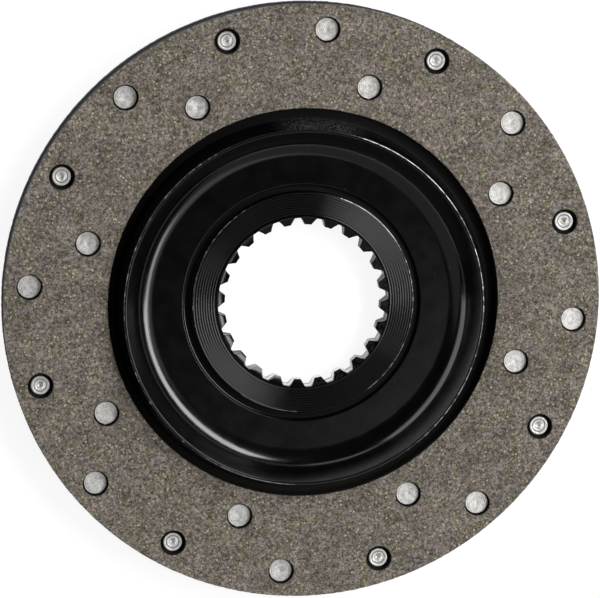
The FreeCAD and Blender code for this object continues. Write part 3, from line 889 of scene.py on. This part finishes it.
def paint_material():
    """Satin black paint: dust by the lining, and bare steel where the spline was cut."""
    material = bpy.data.materials.new("black_paint")
    shade = Shade(material)
    place = shade.place()
    radius, angle, height = shade.polar(place)
    level = shade.math("MULTIPLY", height, 1 / MM)
    fine = shade.noise(place, 1100, 3, 0.65)
    coarse = shade.noise(place, 160, 3, 0.55)
    colour = shade.mix(shade.ramp(fine, 0.35, 0.65), grey(0.0008), grey(0.0018))

    colour, dust, patch = add_dirt(shade, place, radius, angle, fine, colour)
    colour, steel, wall = add_bare_teeth(shade, radius, angle, level, fine, colour)

    relief = shade.band(radius, BOSS_RADIUS + 0.4, RELIEF_RADIUS - 0.5, 0.3)
    rough = shade.ramp(coarse, 0.3, 0.7, 0.15, 0.19)
    matt = shade.math("MULTIPLY", shade.ramp(radius, RIB_FOOT - 2.0, RIB_FOOT - 1.5),
                      shade.ramp(level, FLANGE_FRONT + 0.6, FLANGE_FRONT + 1.2, 1.0, 0.0))
    dull = shade.math("MAXIMUM", relief, matt)
    gloss = shade.ramp(dull, 0.0, 1.0, 0.5, 0.10)
    gloss = shade.math("MULTIPLY", gloss, shade.ramp(radius, BOSS_RADIUS - 0.3, BOSS_RADIUS, 0.6, 1.0))
    rough = shade.math("MAXIMUM", rough, shade.math("MULTIPLY", dull, 0.6))
    rough = shade.math("MAXIMUM", rough, shade.math("MULTIPLY", dust, 0.5))
    rough = shade.math("MAXIMUM", rough, shade.math("MULTIPLY", patch, 0.8))
    rough = shade.math("MAXIMUM", rough, shade.math("MULTIPLY", wall, 0.45))
    normal = shade.bump(shade.noise(place, 700, 2, 0.5), 0.000003)
    shade.surface(shade.principled(
        Base_Color=colour, Roughness=rough, Metallic=steel, IOR=1.58, Normal=normal,
        Specular_IOR_Level=gloss,
    ))
    return material


def crest_wear_and_highlight_material():
    """The rib's outer edge, worn through to bare steel in places, and given more bare steel where it
    catches the light, as a painted highlight.
    """
    material = bpy.data.materials.new("worn_and_highlit_edge")
    shade = Shade(material)
    place = shade.place()
    angle = shade.polar(place)[1]
    broken = shade.noise(place, 420, 3, 0.6)
    fine = shade.noise(place, 1600, 2, 0.6)
    # Painted highlight: the stretches are strongest where the edge catches the light, over its real wear.
    share = shade.arcs(angle, WORN_AND_HIGHLIT_STRETCHES)
    worn_and_highlit_steel = shade.ramp(shade.math("SUBTRACT", broken, share), -0.26, 0.06, 1.0, 0.0)
    worn_and_highlit_steel = shade.math("MULTIPLY", worn_and_highlit_steel, shade.ramp(fine, 0.30, 0.55, 0.35, 1.0))
    worn_and_highlit_steel = shade.math("MAXIMUM", worn_and_highlit_steel, shade.marks(place, CREST_NICKS))
    colour = shade.mix(worn_and_highlit_steel, grey(0.0015), (0.62, 0.61, 0.60, 1))
    normal = shade.bump(shade.noise(place, 1400, 2, 0.6), 0.00002)
    shade.surface(shade.principled(
        Base_Color=colour, Roughness=shade.ramp(worn_and_highlit_steel, 0.0, 1.0, 0.22, 0.36), Metallic=worn_and_highlit_steel,
        IOR=1.58, Normal=normal,
    ))
    return material


LINING_MARKS = [
    (102.0, 91.1, 11.0, 0.9), (41.0, 80.3, 11.0, 0.6), (310.0, 93.5, 11.0, 0.6), (188.0, 96.0, 11.0, 0.7),
]
LINING_PITS = [
    (122.1, 100.2, 11.0, 1.6), (125.7, 94.6, 11.0, 1.1), (12.0, 95.0, 11.0, 0.8), (258.0, 90.0, 11.0, 0.9),
]
PALE_FIBRE = (0.46, 0.42, 0.35, 1)
PALE_FLECK = (0.52, 0.48, 0.40, 1)
DARK_PIT = (0.035, 0.031, 0.028, 1)
# SHADED_DEPTH is painted shade for the faces that lie below the friction face.
SHADED_DEPTH = (0.021, 0.019, 0.017, 1)
SEALED_RIM = (0.024, 0.026, 0.031, 1)


def lining_material():
    """Moulded friction material: grey-brown grains, pale fibres, dark pits and a sealed dark rim, with
    painted shade on every face below the friction face.
    """
    material = bpy.data.materials.new("friction_material")
    shade = Shade(material)
    place = shade.place()
    radius, _, height = shade.polar(place)
    broad = shade.noise(place, 120, 3, 0.6)
    blotch = shade.noise(place, 300, 3, 0.6)
    clump = shade.noise(place, 640, 3, 0.65, 0.4)
    grain = shade.noise(place, 1500, 3, 0.7)
    olive = shade.mix(shade.ramp(blotch, 0.38, 0.62), (0.158, 0.136, 0.129, 1), (0.157, 0.145, 0.092, 1))
    warm = shade.ramp(shade.noise(place, 420, 2, 0.5), 0.40, 0.62)
    base = shade.mix(warm, olive, (0.176, 0.148, 0.124, 1))
    factor = shade.ramp(grain, 0.28, 0.72, 0.23, 1.69)
    factor = shade.math("MULTIPLY", factor, shade.ramp(clump, 0.30, 0.70, 0.60, 1.42))
    factor = shade.math("MULTIPLY", factor, shade.ramp(broad, 0.30, 0.70, 0.82, 1.20))
    factor = shade.math("MULTIPLY", factor, shade.ramp(blotch, 0.30, 0.70, 1.14, 0.86))
    colour = shade.tint(base, factor)

    warped = shade.noise(place, 430, 2, 0.5, 0.8)
    fibre = shade.band(warped, 0.497, 0.503, 0.012)
    fibre = shade.math("MULTIPLY", fibre, shade.ramp(shade.noise(place, 800, 2, 0.5), 0.50, 0.60))
    colour = shade.mix(shade.math("MULTIPLY", fibre, 0.85), colour, PALE_FIBRE)
    fleck = shade.ramp(shade.cells(place, 600), 0.20, 0.30, 1.0, 0.0)
    fleck = shade.math("MULTIPLY", fleck, shade.ramp(shade.noise(place, 300, 2, 0.5), 0.50, 0.56))
    fleck = shade.math("MAXIMUM", shade.math("MULTIPLY", fleck, 0.7), shade.marks(place, LINING_MARKS))
    colour = shade.mix(fleck, colour, PALE_FLECK)
    pit = shade.ramp(shade.noise(place, 900, 1, 0.4), 0.29, 0.35, 1.0, 0.0)
    pit = shade.math("MAXIMUM", pit, shade.marks(place, LINING_PITS))
    colour = shade.mix(shade.math("MULTIPLY", pit, 0.8), colour, DARK_PIT)

    # Painted shade: faces below the friction face, in the counterbores, on the seats and on the bore's wall,
    # are darkened.
    level = shade.math("ABSOLUTE", shade.math("SUBTRACT", shade.math("MULTIPLY", height, 1 / MM), MID_PLANE))
    deep = shade.ramp(level, FRONT_FACE - MID_PLANE - 0.5, FRONT_FACE - MID_PLANE - 0.15, 1.0, 0.0)
    colour = shade.mix(deep, colour, SHADED_DEPTH)
    rim = shade.math("MULTIPLY", deep, shade.ramp(radius, DISC_RADIUS - 1, DISC_RADIUS - 0.5))
    colour = shade.mix(rim, colour, SEALED_RIM)
    relief = shade.math("ADD", grain, shade.math("MULTIPLY", pit, -0.8))
    relief = shade.math("ADD", relief, shade.math("MULTIPLY", clump, 0.8))
    shade.surface(shade.principled(
        Base_Color=colour, Roughness=0.85, Specular_IOR_Level=0.25, Normal=shade.bump(relief, 0.00006),
    ))
    return material


def rivet_material():
    """Dull plated steel with the faint rings of its heading tool."""
    material = bpy.data.materials.new("dull_steel")
    shade = Shade(material)
    place = shade.place()
    radius = shade.polar(place)[0]
    own = shade.vector("ADD", place, shade.node("ShaderNodeObjectInfo").outputs["Location"])
    cloud = shade.noise(own, 500, 3, 0.6)
    speckle = shade.noise(own, 1100, 3, 0.7)
    colour = shade.mix(shade.ramp(cloud, 0.3, 0.7), (0.66, 0.645, 0.615, 1), (0.95, 0.93, 0.90, 1))
    colour = shade.tint(colour, shade.ramp(speckle, 0.3, 0.6, 0.72, 1.02))
    edge = shade.band(radius, 3.75, 4.05, 0.25)
    colour = shade.mix(shade.math("MULTIPLY", edge, 0.5), colour, (0.97, 0.96, 0.94, 1))
    wave = shade.math("SINE", shade.math("MULTIPLY", radius, 8.0))
    relief = shade.math("ADD", shade.math("MULTIPLY", wave, 0.5), speckle)
    shade.surface(shade.principled(
        Base_Color=colour, Metallic=0.85, Roughness=shade.ramp(cloud, 0.3, 0.7, 0.44, 0.54),
        Normal=shade.bump(relief, 0.00002),
    ))
    return material


def tail_material():
    """The brighter steel of a freshly rolled tail, with painted shade in its groove and on one side of its
    hollow.
    """
    material = bpy.data.materials.new("rolled_steel")
    shade = Shade(material)
    place = shade.place()
    radius, angle = shade.polar(place)[:2]
    own = shade.vector("ADD", place, shade.node("ShaderNodeObjectInfo").outputs["Location"])
    cloud = shade.noise(own, 900, 3, 0.6)
    colour = shade.mix(shade.ramp(cloud, 0.3, 0.6), (0.86, 0.85, 0.83, 1), (1.0, 0.99, 0.97, 1))
    # Painted shade: the groove inside the rolled rim is darkened, and so is the hollow towards one side.
    groove_shade = shade.band(radius, 2.22, 2.52, 0.12)
    colour = shade.mix(shade.math("MULTIPLY", groove_shade, 0.8), colour, (0.22, 0.215, 0.21, 1))
    pit = shade.math("MULTIPLY", shade.ramp(radius, 0.5, 1.6, 1.0, 0.0), shade.arc(angle, 350, 60, 40))
    colour = shade.mix(shade.math("MULTIPLY", pit, 0.75), colour, (0.16, 0.155, 0.15, 1))
    shade.surface(shade.principled(
        Base_Color=colour, Metallic=0.65, Roughness=0.36, Normal=shade.bump(cloud, 0.00001),
    ))
    return material


add_camera()
add_floor()
add_world()
for lamp_name, lamp_values in SOFTBOXES.items():
    add_softbox(lamp_name, *lamp_values)

make_centre(paint_material(), crest_wear_and_highlight_material())
lining_finish = lining_material()
make_lining("front_friction_lining", "front_lining", FLANGE_FRONT, FRONT_FACE, lining_finish)
make_lining("rear_friction_lining", "rear_lining", FLANGE_REAR, REAR_FACE, lining_finish)
rivet_finish = [rivet_material(), tail_material()]
for ring_name, rivet_number, head_side, rivet_place in rivet_places():
    make_rivet(ring_name, rivet_number, head_side, rivet_place, rivet_finish)

bpy.context.scene.view_settings.view_transform = "Standard"
